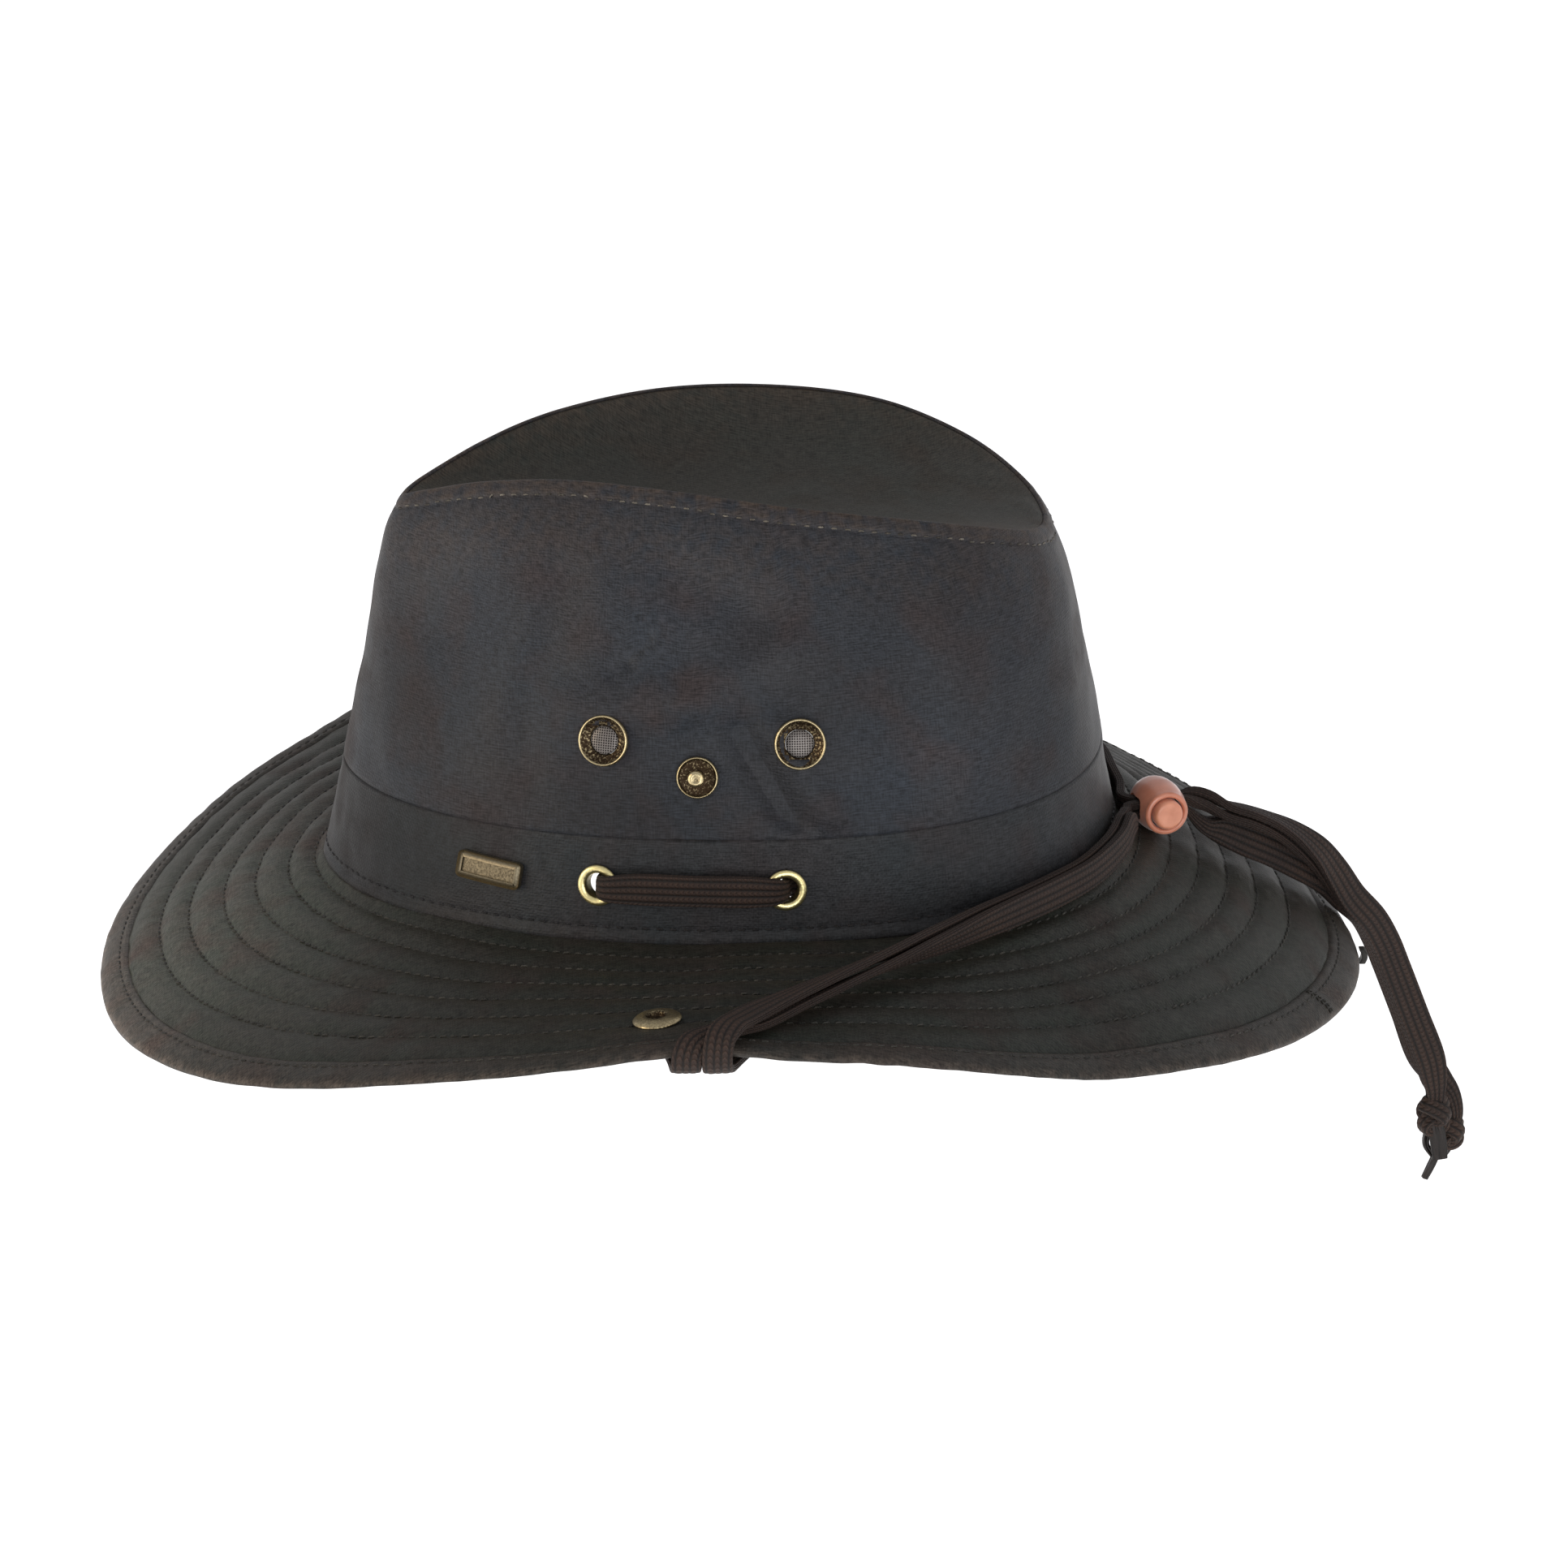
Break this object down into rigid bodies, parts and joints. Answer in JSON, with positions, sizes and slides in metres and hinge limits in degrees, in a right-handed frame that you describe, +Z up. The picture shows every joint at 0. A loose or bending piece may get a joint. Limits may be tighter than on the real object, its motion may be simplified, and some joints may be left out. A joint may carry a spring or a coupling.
{
  "type": "oilskin hat",
  "caption": "Wide-brimmed waxed cloth hat with a dented teardrop crown, mesh vents, a quilted drooping brim and a braided chin cord drawn up in a sprung cord lock.",
  "frame": {"origin": "Middle of the head opening, in the plane where the crown meets the brim.", "axes": "+Z up along the crown, +X to the back of the hat, -Y to the wearer's left, the side of the picture."},
  "size_m": [0.3578, 0.315, 0.2168],
  "materials": {
    "crown_cloth": "brownish-black waxed cotton, slightly shiny on the folds",
    "brim_cloth": "brownish-black waxed cotton, quilted in rows",
    "brass": "antique brass, worn bright",
    "vent_mesh": "fine wire gauze, dull grey",
    "cord": "flat braid, dark brown",
    "toggle": "moulded, terracotta brown, glossy"
  },
  "bodies": {
    "hat": {"crown_side_near": "crown_cloth", "crown_side_far": "crown_cloth", "crown_tip": "crown_cloth", "crown_band": "crown_cloth", "brim": "brim_cloth", "brim_edge": "brim_cloth", "brim_back_tab": "brim_cloth", "vent_rim_near_front": "brass", "vent_mesh_near_front": "vent_mesh", "cord_grommet_near_front": "brass", "vent_rim_near_back": "brass", "vent_mesh_near_back": "vent_mesh", "cord_grommet_near_back": "brass", "snap_stud_near": "brass", "vent_rim_far_front": "brass", "vent_mesh_far_front": "vent_mesh", "cord_grommet_far_front": "brass", "vent_rim_far_back": "brass", "vent_mesh_far_back": "vent_mesh", "cord_grommet_far_back": "brass", "snap_stud_far": "brass", "brim_snap_near": "brass", "brim_snap_far": "brass", "badge_plate": "brass", "cord_near_top": "cord", "cord_near_under": "cord", "cord_far_top": "cord", "cord_far_under": "cord", "knot_inner": "cord", "knot_outer": "cord", "toggle_barrel": "toggle"},
    "plunger": {"toggle_plunger": "toggle"}
  },
  "joints": [
    {"name": "toggle_press", "type": "slide", "parent": "hat", "child": "plunger", "axis": [-0.2588, 0.9659, 0], "range_m": [0, 0.002], "stiffness_N_per_m": 400, "springref_m": -0.002}
  ]
}
